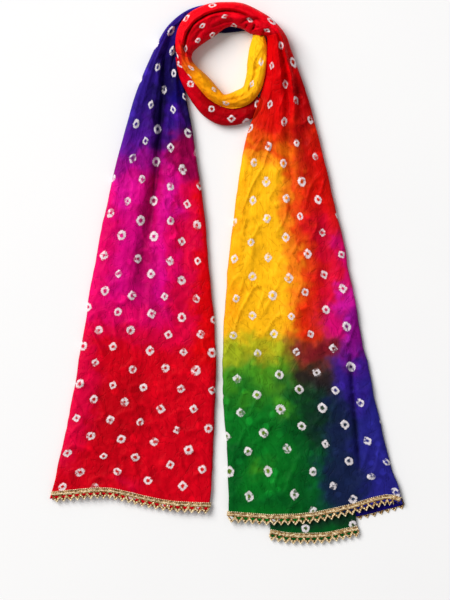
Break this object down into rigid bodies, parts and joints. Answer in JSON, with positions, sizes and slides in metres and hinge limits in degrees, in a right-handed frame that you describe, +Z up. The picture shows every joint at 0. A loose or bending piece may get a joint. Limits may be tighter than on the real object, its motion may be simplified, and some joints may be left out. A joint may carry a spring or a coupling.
{
  "type": "dupatta stole",
  "caption": "Tie-dyed silk stole with gold lace ends, wound once into a neck loop and laid flat with two long tails.",
  "frame": {"origin": "centre of the laid-out stole in plan, on the surface it lies on", "axes": "+Z up out of the surface, +Y from the lace hems towards the neck loop, +X towards the tail whose under layers show"},
  "size_m": [0.5666, 0.866, 0.0388],
  "materials": {
    "silk_crimson": "soft crinkled silk with a low sheen, crimson and magenta running to indigo, white tie-dye rings",
    "silk_navy": "soft crinkled silk, indigo to near black",
    "silk_red": "soft crinkled silk, red, white tie-dye rings",
    "silk_amber": "soft crinkled silk, amber yellow running to orange and red",
    "silk_rainbow": "soft crinkled silk, red to yellow, green, purple and blue, white tie-dye rings",
    "silk_blue": "wrong side of the silk, dark blue",
    "silk_green": "soft crinkled silk, green, white tie-dye rings",
    "gold_lace": "metallic gold thread lace, satin"
  },
  "bodies": {
    "root": {"left_tail": "silk_crimson", "left_under": "silk_crimson", "neck_back": "silk_navy", "loop_low": "silk_red", "loop_roll": "silk_amber", "loop_top": "silk_red", "right_tail": "silk_rainbow", "right_under": "silk_blue", "right_strip": "silk_green", "left_lace": "gold_lace", "right_lace": "gold_lace", "right_under_lace": "gold_lace", "right_strip_lace": "gold_lace"}
  },
  "joints": []
}
